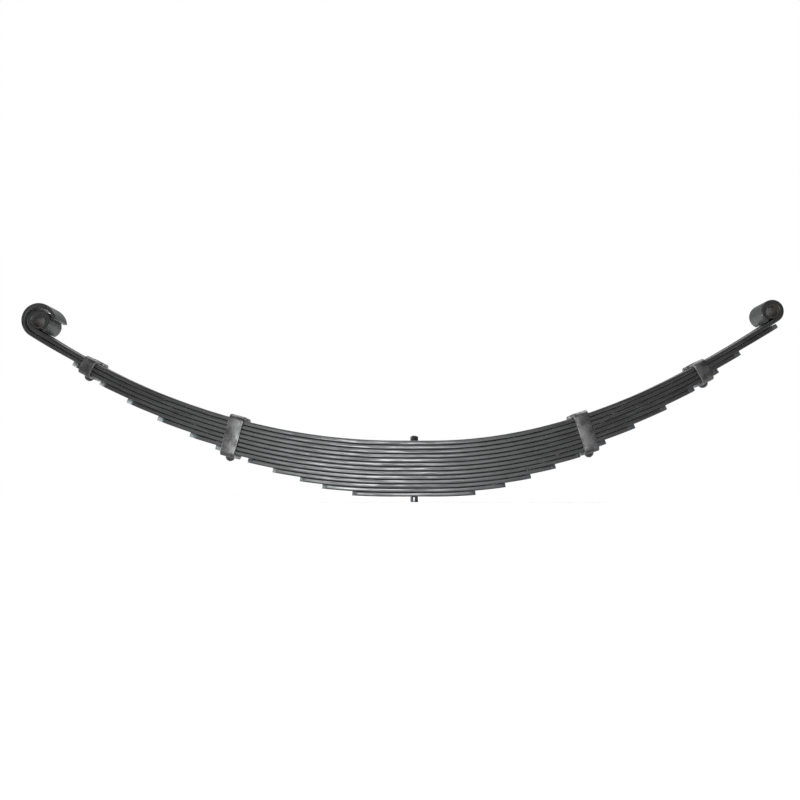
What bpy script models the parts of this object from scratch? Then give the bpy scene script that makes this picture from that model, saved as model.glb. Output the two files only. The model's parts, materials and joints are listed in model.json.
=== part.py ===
"""Semi-elliptic multi-leaf spring with rolled eyes, clinch clips and a centre bolt.

Metres, +Z up, +X along the spring towards the plain eye, +Y across the leaves.
The origin is the middle of the locating head's end face, under the stack.
Every leaf follows one shared bend line, the top face of the main leaf, at its own depth.
"""

import math
from dataclasses import dataclass

import bmesh
import bpy
from mathutils import Matrix, Vector

MM = 0.001

# Spring steel
LEAF_WIDTH = 44.45 * MM
MAIN_THICKNESS = 8.2 * MM
LEAF_THICKNESS = 7.4 * MM
EDGE_CHAMFER = 1.7 * MM
LEAF_COUNT = 13

# Air between leaves: at the clamped seat, out along the arms, and under the eyes
SEAT_GAP = 0.4 * MM
ARM_GAP = 0.6 * MM
ARM_GAP_FROM = 250.0 * MM
EYE_GAP = 2.2 * MM
EYE_GAP_RUN = 84.0 * MM

# Bend line
SEAT_HALF_LENGTH = 30.0 * MM
BOLT_LAND = 12.0 * MM
SEAT_DISH = 0.02 * MM
STATION_PITCH = 48.0 * MM

# Eyes and bushes
EYE_BORE_RADIUS = 13.0 * MM
EYE_CURL = math.radians(304.0)
EYE_FACETS = 16
WRAP_RADIUS = 25.0 * MM
WRAP_FACETS = 13
BUSH_OUTER_RADIUS = 12.7 * MM
BUSH_BORE_RADIUS = 11.1 * MM
BUSH_SEGMENTS = 32

# Centre bolt and nut
BOLT_RADIUS = 4.76 * MM
BOLT_HOLE_RADIUS = 5.1 * MM
HEAD_RADIUS = 7.15 * MM
HEAD_HEIGHT = 9.5 * MM
NUT_ACROSS_FLATS = 14.3 * MM
NUT_HEIGHT = 8.3 * MM
BOLT_END = 1.9 * MM

# Clips and rivets
CLEARANCE = 0.3 * MM
CLIP_SIDE_GAP = 0.8 * MM
CLIP_BEND_RADIUS = 3.2 * MM
CLIP_EAR_GAP = 12.0 * MM
RIVET_RADIUS = 4.76 * MM
RIVET_HOLE_RADIUS = 5.1 * MM
RIVET_HEAD_RADIUS = 8.3 * MM
RIVET_HEAD_HEIGHT = 7.0 * MM

ROUND_SEGMENTS = 24


@dataclass(frozen=True)
class Arm:
    """One half of the spring, from the centre bolt to its eye."""

    name: str
    sign: int
    seat_radius: float
    eye_radius: float
    length: float
    inner_clip: float
    outer_clip: float


@dataclass(frozen=True)
class Leaf:
    """A leaf cut to its reach along the bend line, left and right of the bolt."""

    number: int
    left: float
    right: float
    trim: float


@dataclass(frozen=True)
class Clip:
    """A strap riveted under one leaf, with its ears bent over the main leaf."""

    name: str
    arm: Arm
    station: float
    under_leaf: int
    width: float
    thickness: float


LEFT = Arm("left", -1, 1060 * MM, 1413 * MM, 728.5 * MM, 324 * MM, 609 * MM)
RIGHT = Arm("right", 1, 750 * MM, 2600 * MM, 703.5 * MM, 305 * MM, 539 * MM)

LEAVES = [
    Leaf(3, 640 * MM, 618 * MM, 9 * MM),
    Leaf(4, 581 * MM, 568 * MM, 9 * MM),
    Leaf(5, 524 * MM, 515 * MM, 9 * MM),
    Leaf(6, 462 * MM, 456 * MM, 9 * MM),
    Leaf(7, 399 * MM, 392 * MM, 9 * MM),
    Leaf(8, 350 * MM, 335 * MM, 9 * MM),
    Leaf(9, 289 * MM, 285 * MM, 5 * MM),
    Leaf(10, 244 * MM, 240 * MM, 5 * MM),
    Leaf(11, 196 * MM, 196 * MM, 5 * MM),
    Leaf(12, 157 * MM, 152 * MM, 5 * MM),
    Leaf(13, 106 * MM, 102 * MM, 5 * MM),
]
WRAPPER_RIGHT_REACH = 701 * MM

CLIPS = [
    Clip("left_outer", LEFT, LEFT.outer_clip, 3, 22.2 * MM, 4.8 * MM),
    Clip("left_inner", LEFT, LEFT.inner_clip, 8, 27.0 * MM, 6.35 * MM),
    Clip("right_inner", RIGHT, RIGHT.inner_clip, 8, 27.0 * MM, 6.35 * MM),
    Clip("right_outer", RIGHT, RIGHT.outer_clip, 4, 22.2 * MM, 4.8 * MM),
]

STACK_HEIGHT = MAIN_THICKNESS + (LEAF_COUNT - 1) * (SEAT_GAP + LEAF_THICKNESS)
SEAT_TOP = HEAD_HEIGHT + CLEARANCE + STACK_HEIGHT


def material(name, colour, roughness, metallic):
    """A plain Principled material."""
    mat = bpy.data.materials.new(name)
    mat.use_nodes = True
    shader = mat.node_tree.nodes["Principled BSDF"]
    shader.inputs["Base Color"].default_value = (*colour, 1.0)
    shader.inputs["Roughness"].default_value = roughness
    shader.inputs["Metallic"].default_value = metallic
    mat.diffuse_color = (*colour, 1.0)
    return mat


def empty(name, location, parent=None):
    """A parent frame for pieces that move together, at a world location."""
    obj = bpy.data.objects.new(name, None)
    obj.empty_display_size = 0.03
    bpy.context.collection.objects.link(obj)
    obj.location = location
    if parent is not None:
        obj.parent = parent
        obj.location = Vector(location) - world_location(parent)
    return obj


def world_location(obj):
    """World location of an unrotated chain of parents."""
    total = Vector(obj.location)
    while obj.parent is not None:
        obj = obj.parent
        total += obj.location
    return total


def finish(name, bm, mat, parent, location=(0, 0, 0), turn=0.0, angle=40.0):
    """Close the mesh, face it outwards and place it by location and a turn about Y."""
    bmesh.ops.recalc_face_normals(bm, faces=bm.faces)
    mesh = bpy.data.meshes.new(name)
    bm.to_mesh(mesh)
    bm.free()
    mesh.materials.append(mat)
    mesh.shade_smooth()
    mesh.set_sharp_from_angle(angle=math.radians(angle))
    obj = bpy.data.objects.new(name, mesh)
    bpy.context.collection.objects.link(obj)
    obj.parent = parent
    obj.location = Vector(location) - world_location(parent)
    obj.rotation_euler = (0.0, turn, 0.0)
    return obj


def arm_gap(reach):
    """Air between two neighbouring leaves at a distance along the arm."""
    if reach <= SEAT_HALF_LENGTH:
        return SEAT_GAP
    share = (reach - SEAT_HALF_LENGTH) / (ARM_GAP_FROM - SEAT_HALF_LENGTH)
    return SEAT_GAP + (ARM_GAP - SEAT_GAP) * min(share, 1.0)


def leaf_top_depth(number, reach, arm):
    """How far a leaf's top face lies below the bend line at a reach."""
    if number == 1:
        return 0.0
    depth = MAIN_THICKNESS + (number - 2) * LEAF_THICKNESS + (number - 1) * arm_gap(reach)
    beyond = (reach - arm.length + EYE_GAP_RUN) / EYE_GAP_RUN
    if number == 2 and beyond > 0.0:
        depth += (EYE_GAP - ARM_GAP) * beyond
    return depth


class BendLine:
    """The facets that every leaf of one arm follows, in the XZ plane from the bolt out."""

    def __init__(self, arm):
        self.arm = arm
        self.stations = self.place_stations()
        self.points = self.integrate()

    def place_stations(self):
        """Shared fold stations, with one unbroken facet under each clip."""
        arm = self.arm
        fixed = [0.0, BOLT_LAND, SEAT_HALF_LENGTH]
        for middle, half in ((arm.inner_clip, 17 * MM), (arm.outer_clip, 15 * MM)):
            fixed += [middle - half, middle + half]
        fixed.append(arm.length)
        stations = [0.0]
        for start, end in zip(fixed, fixed[1:]):
            steps = 1 if end - start < 1.3 * STATION_PITCH else round((end - start) / STATION_PITCH)
            stations += [start + (end - start) * (i + 1) / steps for i in range(steps)]
        return stations

    def slope(self, reach):
        """Slope of the smooth bend line, whose curvature runs evenly from seat to eye."""
        arm = self.arm
        if reach < SEAT_HALF_LENGTH:
            return SEAT_DISH / (SEAT_HALF_LENGTH - BOLT_LAND) if reach > BOLT_LAND else 0.0
        run = reach - SEAT_HALF_LENGTH
        whole = arm.length - SEAT_HALF_LENGTH
        change = 1.0 / arm.eye_radius - 1.0 / arm.seat_radius
        return run / arm.seat_radius + change * run * run / (2.0 * whole)

    def integrate(self):
        """Fold points of the line: outward distance and rise above the seat."""
        points = [Vector((0.0, 0.0))]
        steps = 8
        for start, end in zip(self.stations, self.stations[1:]):
            point = points[-1].copy()
            for i in range(steps):
                middle = self.slope(start + (end - start) * (i + 0.5) / steps)
                point += Vector((math.cos(middle), math.sin(middle))) * (end - start) / steps
            points.append(point)
        return points

    def facet(self, reach):
        """Index of the facet that holds a reach."""
        for i in range(len(self.stations) - 1):
            if reach < self.stations[i + 1] - 1e-9:
                return i
        return len(self.stations) - 2

    def direction(self, index):
        """Unit direction of a facet, outwards."""
        return (self.points[index + 1] - self.points[index]).normalized()

    def angle(self, reach):
        """Slope angle of the facet that holds a reach."""
        along = self.direction(self.facet(reach))
        return math.atan2(along.y, along.x)

    def point(self, reach, depth=0.0):
        """A point at a reach and a depth below the line, on the facets or on a fold."""
        i = self.facet(reach)
        along = self.direction(i)
        up = Vector((-along.y, along.x))
        start, end = self.stations[i], self.stations[i + 1]
        base = self.points[i].lerp(self.points[i + 1], (reach - start) / (end - start))
        if i > 0 and abs(reach - start) < 1e-9:
            before = self.direction(i - 1)
            up_before = Vector((-before.y, before.x))
            half = math.acos(max(-1.0, min(1.0, up.dot(up_before)))) / 2.0
            up = (up + up_before).normalized() / math.cos(half)
        return base - up * depth

    def world(self, reach, depth=0.0):
        """The same point in the spring's own frame, in the plane through the bolt."""
        flat = self.point(reach, depth)
        return Vector((self.arm.sign * flat.x, 0.0, SEAT_TOP + flat.y))

    def turn(self, reach):
        """Turn about Y that lays a piece's X axis on the facet at a reach."""
        return -self.arm.sign * self.angle(reach)


def rings_along(line, number, reach_end, trim):
    """Section rings (reach, top depth, bottom depth, half width) from the bolt to a tip."""
    thickness = MAIN_THICKNESS if number == 1 else LEAF_THICKNESS
    reaches = [s for s in line.stations[1:] if s < reach_end - 1.5 * trim - 4 * MM]
    half = LEAF_WIDTH / 2
    rings = [(s, half) for s in reaches]
    if trim:
        rings += [(reach_end - 1.5 * trim, half), (reach_end, half - trim)]
    result = []
    for reach, width in rings:
        top = leaf_top_depth(number, reach, line.arm)
        result.append((line.point(reach, top), line.point(reach, top + thickness), width))
    return result


def curl_rings(centre, start_angle, inner, thickness, sweep, facets, turn_sign):
    """Section rings round an eye, whose facets touch the inner circle."""
    step = sweep / facets
    rings = []
    for i in range(facets + 1):
        last = i == facets
        angle = start_angle + turn_sign * ((i + 0.5) * step if not last else i * step)
        reach = 1.0 if last else 1.0 / math.cos(step / 2)
        way = Vector((math.cos(angle), math.sin(angle)))
        rings.append((centre + way * inner * reach, centre + way * (inner + thickness) * reach, LEAF_WIDTH / 2))
    return rings


def section(ring, sign):
    """Eight corners of a leaf's section between its top and bottom points."""
    top, bottom, half = ring
    down = (bottom - top).normalized()
    c = EDGE_CHAMFER
    inner = half - c
    outline = [(top, -inner), (top, inner), (top + down * c, half), (bottom - down * c, half)]
    outline += [(bottom, inner), (bottom, -inner), (bottom - down * c, -half), (top + down * c, -half)]
    return [Vector((sign * flat.x, y, flat.y)) for flat, y in outline]


def sweep_sections(sections):
    """Extrude one outline through a row of places into a closed solid."""
    bm = bmesh.new()
    face = bm.faces.new([bm.verts.new(co) for co in sections[0]])
    for places in sections[1:]:
        order = [v.co.copy() for v in face.verts]
        result = bmesh.ops.extrude_face_region(bm, geom=[face, *face.edges])
        face = next(g for g in result["geom"] if isinstance(g, bmesh.types.BMFace))
        for vert in face.verts:
            index = min(range(len(order)), key=lambda i: (order[i] - vert.co).length_squared)
            vert.co = places[index]
        face = rotate_face(bm, face, places)
    return bm


def rotate_face(bm, face, places):
    """Make a face list its corners in the outline's own order."""
    verts = [min(face.verts, key=lambda v: (v.co - co).length_squared) for co in places]
    bm.faces.remove(face)
    return bm.faces.new(verts)


def leaf_solid(number, left_rings, right_rings):
    """One leaf, swept from its left tip or eye to its right one."""
    places = [section(ring, -1) for ring in reversed(left_rings)]
    places += [section(ring, 1) for ring in right_rings]
    return sweep_sections(places)


def eye_centre(line, depth_below):
    """Middle of the eye: its inner circle touches the leaf's top face at the arm's end."""
    along = line.direction(len(line.stations) - 2)
    up = Vector((-along.y, along.x))
    return line.points[-1] + up * (EYE_BORE_RADIUS - depth_below)


def main_rings(line):
    """The main leaf's arm with its upturned eye."""
    rings = rings_along(line, 1, line.arm.length + 1.0, 0.0)[:-1]
    slope = line.angle(line.arm.length)
    start = slope - math.pi / 2
    rings += curl_rings(eye_centre(line, 0.0), start, EYE_BORE_RADIUS, MAIN_THICKNESS, EYE_CURL, EYE_FACETS, 1)
    return rings


def wrapper_rings(line):
    """The second leaf's arm with its loose turn round the main eye."""
    rings = rings_along(line, 2, line.arm.length + 1.0, 0.0)[:-1]
    slope = line.angle(line.arm.length)
    top = leaf_top_depth(2, line.arm.length, line.arm)
    along = Vector((math.cos(slope), math.sin(slope)))
    up = Vector((-along.y, along.x))
    centre = line.points[-1] + up * (WRAP_RADIUS - top) + along * 0.8 * MM
    start = slope - math.pi / 2
    rings += curl_rings(centre, start, WRAP_RADIUS, LEAF_THICKNESS, math.pi / 2 + math.pi - slope, WRAP_FACETS, 1)
    return rings


def spun(profile, segments, axis="Z"):
    """Turn a profile of (radius, height) corners into a closed round solid."""
    bm = bmesh.new()
    verts = [bm.verts.new((radius, 0.0, height)) for radius, height in profile]
    edges = [bm.edges.new(pair) for pair in zip(verts, verts[1:])]
    closed = profile[0][0] > 0.0 and profile[-1][0] > 0.0
    if closed:
        edges.append(bm.edges.new((verts[-1], verts[0])))
    bmesh.ops.spin(
        bm, geom=verts + edges, cent=(0, 0, 0), axis=(0, 0, 1), angle=math.tau, steps=segments, use_merge=True
    )
    bmesh.ops.remove_doubles(bm, verts=bm.verts, dist=1e-6)
    if axis == "Y":
        bmesh.ops.rotate(bm, verts=bm.verts, cent=(0, 0, 0), matrix=Matrix.Rotation(math.pi / 2, 3, "X"))
    return bm


def cutter(name, radius, length, parent, location, turn=0.0):
    """A round cutter for a drilled hole, kept out of the build."""
    bm = bmesh.new()
    bmesh.ops.create_cone(
        bm, cap_ends=True, segments=16, radius1=radius, radius2=radius, depth=length
    )
    obj = finish(name, bm, bpy.data.materials["cutter"], parent, location, turn)
    obj.hide_render = True
    obj.display_type = "WIRE"
    return obj


def drill(obj, tool):
    """Cut a hole with a Boolean."""
    cut = obj.modifiers.new("hole_" + tool.name, "BOOLEAN")
    cut.operation = "DIFFERENCE"
    cut.solver = "EXACT"
    cut.object = tool


def clip_outline(clip, depth):
    """Middle line of the strap in (across, height), from one ear's end to the other's."""
    half = LEAF_WIDTH / 2 + CLIP_SIDE_GAP + clip.thickness / 2
    top = CLEARANCE + clip.thickness / 2
    bottom = -depth - CLEARANCE - clip.thickness / 2
    radius = CLIP_BEND_RADIUS + clip.thickness / 2
    corners = [(half, top, 0.0), (half, bottom, -90.0), (-half, bottom, 180.0), (-half, top, 90.0)]
    path = [(Vector((CLIP_EAR_GAP / 2, top)), 90.0)]
    for y, z, start in corners:
        middle = Vector((y - math.copysign(radius, y), z - math.copysign(radius, z - bottom - 1e-6)))
        for i in range(4):
            angle = math.radians(start + 90.0 - i * 30.0)
            way = Vector((math.cos(angle), math.sin(angle)))
            path.append((middle + way * radius, math.degrees(angle)))
    path.append((Vector((-CLIP_EAR_GAP / 2, top)), 90.0))
    return path


def clip_solid(clip, depth):
    """The strap swept along its bent outline."""
    half_width = clip.width / 2
    half = clip.thickness / 2
    c = 0.9 * MM
    outline = [(half_width - c, half), (half_width, half - c), (half_width, c - half), (half_width - c, -half)]
    outline += [(-x, z) for x, z in reversed(outline)]
    places = []
    for middle, angle in clip_outline(clip, depth):
        way = Vector((math.cos(math.radians(angle)), math.sin(math.radians(angle))))
        flat = [(x, middle + way * out) for x, out in outline]
        places.append([Vector((x, p.x, p.y)) for x, p in flat])
    return sweep_sections(places)


def rivet_profile(shank_top, seat):
    """Button head below the plate and a plain shank up into the leaf."""
    head = []
    for i in range(5):
        angle = math.radians(90.0 * i / 4)
        height = seat - RIVET_HEAD_HEIGHT * math.cos(angle)
        head.append((RIVET_HEAD_RADIUS * math.sin(angle), height))
    head[-1] = (RIVET_HEAD_RADIUS, seat)
    return head + [(RIVET_RADIUS, seat), (RIVET_RADIUS, shank_top), (0.0, shank_top)]


def nut_solid():
    """Hexagon nut with chamfered corners and a clearance bore."""
    bm = bmesh.new()
    corner = NUT_ACROSS_FLATS / math.sqrt(3)
    bmesh.ops.create_cone(bm, cap_ends=True, segments=6, radius1=corner, radius2=corner, depth=NUT_HEIGHT)
    top = [v for v in bm.verts if v.co.z > 0]
    bmesh.ops.bevel(bm, geom=top, offset=1.1 * MM, segments=1, profile=0.5, affect="VERTICES")
    return bm


def clear_scene():
    """Remove every object and leftover data block of the open file."""
    for obj in list(bpy.data.objects):
        bpy.data.objects.remove(obj, do_unlink=True)
    for block in (bpy.data.meshes, bpy.data.materials):
        for item in list(block):
            block.remove(item)


def build_leaves(lines, steel, root, bolt_cutter):
    """All thirteen leaves, drilled for the centre bolt."""
    left, right = lines["left"], lines["right"]
    rings = {1: (main_rings(left), main_rings(right))}
    rings[2] = (wrapper_rings(left), rings_along(right, 2, WRAPPER_RIGHT_REACH, 9 * MM))
    for leaf in LEAVES:
        rings[leaf.number] = (
            rings_along(left, leaf.number, leaf.left, leaf.trim),
            rings_along(right, leaf.number, leaf.right, leaf.trim),
        )
    extra = {1: "_main", 2: "_wrapper"}
    leaves = {}
    for number, (left_rings, right_rings) in rings.items():
        bm = leaf_solid(number, left_rings, right_rings)
        bmesh.ops.translate(bm, verts=bm.verts, vec=(0.0, 0.0, SEAT_TOP))
        name = f"leaf_{number:02d}{extra.get(number, '')}"
        leaves[number] = finish(name, bm, steel, root)
        drill(leaves[number], bolt_cutter)
    return leaves


def build_clip(clip, line, leaves, frame, strap, rivet_steel):
    """A clip with its rivet, and the holes that the rivet passes through."""
    depth = leaf_top_depth(clip.under_leaf, clip.station, clip.arm) + LEAF_THICKNESS
    seat = -depth - CLEARANCE - clip.thickness - CLEARANCE
    shank_top = -depth + LEAF_THICKNESS - CLEARANCE
    place = line.world(clip.station)
    turn = line.turn(clip.station)
    tool = cutter(f"drill_{clip.name}", RIVET_HOLE_RADIUS, 40 * MM, frame, place, turn)
    down = Matrix.Rotation(turn, 3, "Y") @ Vector((0.0, 0.0, -1.0))
    reach = 20 * MM + depth - LEAF_THICKNESS - ARM_GAP / 2
    tool.location += down * reach
    body = finish(f"clip_{clip.name}", clip_solid(clip, depth), strap, frame, place, turn)
    drill(body, tool)
    drill(leaves[clip.under_leaf], tool)
    profile = rivet_profile(shank_top, seat)
    finish(f"rivet_{clip.name}", spun(profile, ROUND_SEGMENTS), rivet_steel, frame, place, turn)


def build_bush(line, frame, mat):
    """A plain bush in the eye, as long as the leaf is wide."""
    c = 0.6 * MM
    half = LEAF_WIDTH / 2
    profile = [(BUSH_BORE_RADIUS, c - half), (BUSH_BORE_RADIUS + c, -half), (BUSH_OUTER_RADIUS, -half)]
    profile += [(BUSH_OUTER_RADIUS, half), (BUSH_BORE_RADIUS + c, half), (BUSH_BORE_RADIUS, half - c)]
    flat = eye_centre(line, 0.0)
    place = Vector((line.arm.sign * flat.x, 0.0, SEAT_TOP + flat.y))
    finish(f"{line.arm.name}_eye_bush", spun(profile, BUSH_SEGMENTS, "Y"), mat, frame, place)


def build_centre_bolt(root, bolt_steel, nut_steel):
    """The long centre bolt with its round locating head below and its nut on top."""
    c = 1.0 * MM
    end = SEAT_TOP + CLEARANCE + NUT_HEIGHT + BOLT_END
    profile = [(0.0, 0.0), (HEAD_RADIUS - c, 0.0), (HEAD_RADIUS, c), (HEAD_RADIUS, HEAD_HEIGHT)]
    profile += [(BOLT_RADIUS, HEAD_HEIGHT), (BOLT_RADIUS, end - c), (BOLT_RADIUS - c, end), (0.0, end)]
    finish("centre_bolt", spun(profile, ROUND_SEGMENTS), bolt_steel, root)
    middle = SEAT_TOP + CLEARANCE + NUT_HEIGHT / 2
    nut = finish("centre_nut", nut_solid(), nut_steel, root, (0.0, 0.0, middle))
    tool = cutter("drill_nut", BOLT_HOLE_RADIUS, NUT_HEIGHT + 4 * MM, root, (0.0, 0.0, middle))
    drill(nut, tool)


def build_arm(line, leaves, root, mats):
    """The three moving frames of one arm: inner clip, outer clip and eye."""
    arm = line.arm
    parts = {clip.station: clip for clip in CLIPS if clip.arm is arm}
    middle_depth = MAIN_THICKNESS / 2
    hinges = (arm.inner_clip / 2, (arm.inner_clip + arm.outer_clip) / 2, (arm.outer_clip + arm.length) / 2)
    frame = root
    for label, hinge, station in zip(("inner", "outer", "eye"), hinges, (arm.inner_clip, arm.outer_clip, None)):
        frame = empty(f"{arm.name}_{label}_flex", line.world(hinge, middle_depth), frame)
        if station is None:
            build_bush(line, frame, mats["bush"])
        else:
            build_clip(parts[station], line, leaves, frame, mats["strap"], mats["rivet"])


def main():
    """Build the whole spring."""
    clear_scene()
    material("cutter", (0.8, 0.2, 0.2), 0.5, 0.0)
    mats = {
        "leaf": material("leaf_steel_black", (0.035, 0.036, 0.038), 0.45, 0.75),
        "strap": material("strap_steel_worn", (0.17, 0.17, 0.165), 0.5, 0.85),
        "rivet": material("rivet_steel", (0.1, 0.1, 0.095), 0.5, 0.8),
        "bolt": material("bolt_steel", (0.09, 0.09, 0.095), 0.4, 0.9),
        "nut": material("nut_steel", (0.07, 0.07, 0.075), 0.45, 0.85),
        "bush": material("bush_steel", (0.06, 0.052, 0.045), 0.5, 0.8),
    }
    lines = {arm.name: BendLine(arm) for arm in (LEFT, RIGHT)}
    root = empty("spring_centre", (0.0, 0.0, 0.0))
    bolt_cutter = cutter("drill_centre", BOLT_HOLE_RADIUS, 140 * MM, root, (0.0, 0.0, SEAT_TOP / 2 + 5 * MM))
    leaves = build_leaves(lines, mats["leaf"], root, bolt_cutter)
    build_centre_bolt(root, mats["bolt"], mats["nut"])
    for line in lines.values():
        build_arm(line, leaves, root, mats)
    bpy.context.view_layer.update()


if __name__ == "__main__":
    main()
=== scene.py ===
"""Semi-elliptic leaf spring: the visible model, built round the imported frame.

Metres, +X along the spring towards the plain eye, +Y across the leaves, +Z up.
Every leaf and strap is modelled as the straight bar it starts life as, and is then bent
to its line the way the spring maker bends it, so its finish follows the metal.
"""

import json
import logging
import math
from dataclasses import dataclass, field
from enum import Enum
from typing import Any, Callable

import bmesh
import bpy
from mathutils import Matrix, Vector

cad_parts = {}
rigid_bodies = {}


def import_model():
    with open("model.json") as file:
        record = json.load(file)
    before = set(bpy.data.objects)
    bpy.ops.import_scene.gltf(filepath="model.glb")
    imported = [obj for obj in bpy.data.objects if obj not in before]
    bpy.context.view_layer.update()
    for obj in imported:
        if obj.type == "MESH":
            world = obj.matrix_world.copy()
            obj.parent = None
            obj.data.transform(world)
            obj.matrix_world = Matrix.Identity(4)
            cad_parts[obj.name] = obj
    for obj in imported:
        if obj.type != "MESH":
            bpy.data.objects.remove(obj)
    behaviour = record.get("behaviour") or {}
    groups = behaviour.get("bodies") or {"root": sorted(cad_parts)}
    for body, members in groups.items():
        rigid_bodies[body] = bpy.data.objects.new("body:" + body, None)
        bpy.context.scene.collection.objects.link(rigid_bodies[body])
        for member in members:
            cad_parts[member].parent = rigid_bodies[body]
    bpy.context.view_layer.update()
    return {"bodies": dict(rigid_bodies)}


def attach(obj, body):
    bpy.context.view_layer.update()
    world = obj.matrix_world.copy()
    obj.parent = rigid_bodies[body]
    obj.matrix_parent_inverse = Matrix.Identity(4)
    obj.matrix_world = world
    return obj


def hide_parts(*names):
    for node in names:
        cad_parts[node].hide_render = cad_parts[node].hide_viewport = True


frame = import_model()

log = logging.getLogger("leaf_spring")

Maker = Callable[[Vector], Vector]
Material = bpy.types.Material
Mesh = bmesh.types.BMesh
Piece = bpy.types.Object
Socket = bpy.types.NodeSocket
Tree = bpy.types.NodeTree

MM = 0.001
LEAF_WIDTH = 44.45 * MM
MAIN_GAUGE = 8.2 * MM
LEAF_GAUGE = 7.4 * MM
SEAT_TOP = 111.6 * MM
CLEARANCE = 0.3 * MM
SHEAR = 1.5  # a sheared corner's length over its width
HAIR = 1e-6  # points nearer than this are one point
MIX_FIRST, MIX_SECOND, MIX_RESULT = 6, 7, 2  # the Mix node's colour sockets


class Side(Enum):
    """Which way an arm runs from the centre bolt."""

    LEFT = -1
    RIGHT = 1


class Body(Enum):
    """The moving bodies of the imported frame."""

    PACK = "leaf_pack"
    LEFT_INNER = "left_inner_band"
    LEFT_OUTER = "left_outer_band"
    LEFT_EYE = "left_eye_end"
    RIGHT_INNER = "right_inner_band"
    RIGHT_OUTER = "right_outer_band"
    RIGHT_EYE = "right_eye_end"


class Stock(Enum):
    """Flat bar that a clip is cut from, as width and gauge."""

    INNER = (27.0 * MM, 6.35 * MM)
    OUTER = (22.2 * MM, 4.8 * MM)


# ---------------------------------------------------------------- nodes


def linear(code: str) -> tuple[float, float, float, float]:
    """Turn an sRGB hex code into a linear colour.

    Args:
        code: Six hex digits with a leading hash.

    Returns:
        Red, green, blue and an alpha of one, all linear.
    """
    parts = [int(code[i : i + 2], 16) / 255.0 for i in (1, 3, 5)]
    flat = [p / 12.92 if p <= 0.04045 else ((p + 0.055) / 1.055) ** 2.4 for p in parts]
    return (flat[0], flat[1], flat[2], 1.0)


def add_node(
    tree: Tree, kind: str, inputs: dict[str | int, Any] | None = None, **settings: Any
) -> bpy.types.Node:
    """Add a node with its settings, links and constants.

    Args:
        tree: The node tree that takes the node.
        kind: The node's type name.
        inputs: Input name or place to the socket that feeds it, or to its constant.
        **settings: The node's own properties.

    Returns:
        The new node.
    """
    node = tree.nodes.new(kind)
    for name, value in settings.items():
        setattr(node, name, value)
    for place, value in (inputs or {}).items():
        if isinstance(value, Socket):
            tree.links.new(value, node.inputs[place])
        else:
            node.inputs[place].default_value = value
    return node


@dataclass(frozen=True)
class Graph:
    """A node tree, and the few kinds of node that every network here is made of."""

    tree: Tree

    def math(self, operation: str, *sources: Socket | float) -> Socket:
        """One Math operation on sockets or plain numbers."""
        inputs = dict(enumerate(sources))
        return add_node(self.tree, "ShaderNodeMath", inputs, operation=operation).outputs[0]

    def vector(self, operation: str, first: Socket, second: Socket) -> Socket:
        """One Vector Math operation on two sockets; the second is a number to SCALE."""
        inputs = {0: first, "Scale" if operation == "SCALE" else 1: second}
        return add_node(self.tree, "ShaderNodeVectorMath", inputs, operation=operation).outputs[0]

    def ramp(
        self,
        source: Socket,
        low: float,
        high: float,
        start: float = 0.0,
        end: float = 1.0,
        style: str = "SMOOTHSTEP",
    ) -> Socket:
        """Spread a value between two limits over a new range, clamped.

        Args:
            source: The value.
            low: Value that gives start.
            high: Value that gives end.
            start: Result at and below low.
            end: Result at and above high.
            style: How it runs between the two.

        Returns:
            The result's socket.
        """
        inputs = {
            "Value": source,
            "From Min": low,
            "From Max": high,
            "To Min": start,
            "To Max": end,
        }
        node = add_node(self.tree, "ShaderNodeMapRange", inputs, interpolation_type=style)
        return node.outputs[0]

    def noise(
        self, place: Socket, scale: float, detail: float, rough: float = 0.5, warp: float = 0.0
    ) -> Socket:
        """Fractal noise over a set of coordinates.

        Args:
            place: The coordinates.
            scale: Features per metre.
            detail: Number of finer layers.
            rough: How much the finer layers count.
            warp: How far the pattern is pulled about.

        Returns:
            The noise's socket.
        """
        inputs = {
            "Vector": place,
            "Scale": scale,
            "Detail": detail,
            "Roughness": rough,
            "Distortion": warp,
        }
        return add_node(self.tree, "ShaderNodeTexNoise", inputs).outputs["Fac"]

    def mix(self, share: Socket, first: Socket | str, second: str) -> Socket:
        """Blend two colours.

        Args:
            share: How much of the second colour is taken.
            first: A colour's socket or hex code.
            second: A hex code.

        Returns:
            The blended colour's socket.
        """
        inputs = {
            "Factor": share,
            MIX_FIRST: linear(first) if isinstance(first, str) else first,
            MIX_SECOND: linear(second),
        }
        return add_node(self.tree, "ShaderNodeMix", inputs, data_type="RGBA").outputs[MIX_RESULT]

    def attribute(self, name: str, output: str = "Fac") -> Socket:
        """A point attribute that the mesh carries."""
        return add_node(self.tree, "ShaderNodeAttribute", attribute_name=name).outputs[output]

    def stretch(self, place: Socket, scale: tuple[float, float, float]) -> Socket:
        """Coordinates stretched by a scale for each axis."""
        inputs = {"Vector": place, "Scale": scale}
        return add_node(self.tree, "ShaderNodeMapping", inputs).outputs[0]

    def object_space(self) -> Socket:
        """The piece's own coordinates, in metres."""
        return add_node(self.tree, "ShaderNodeTexCoord").outputs["Object"]

    def split(self, place: Socket) -> Any:
        """The X, Y and Z outputs of a set of coordinates."""
        return add_node(self.tree, "ShaderNodeSeparateXYZ", {0: place}).outputs


# ---------------------------------------------------------------- meshes


def add_object(name: str, data: bpy.types.ID) -> Piece:
    """Put a new object that holds this data into the scene.

    Args:
        name: Name of the object.
        data: Its mesh, light or camera.

    Returns:
        The new object.
    """
    item = bpy.data.objects.new(name, data)
    bpy.context.scene.collection.objects.link(item)
    return item


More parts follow.
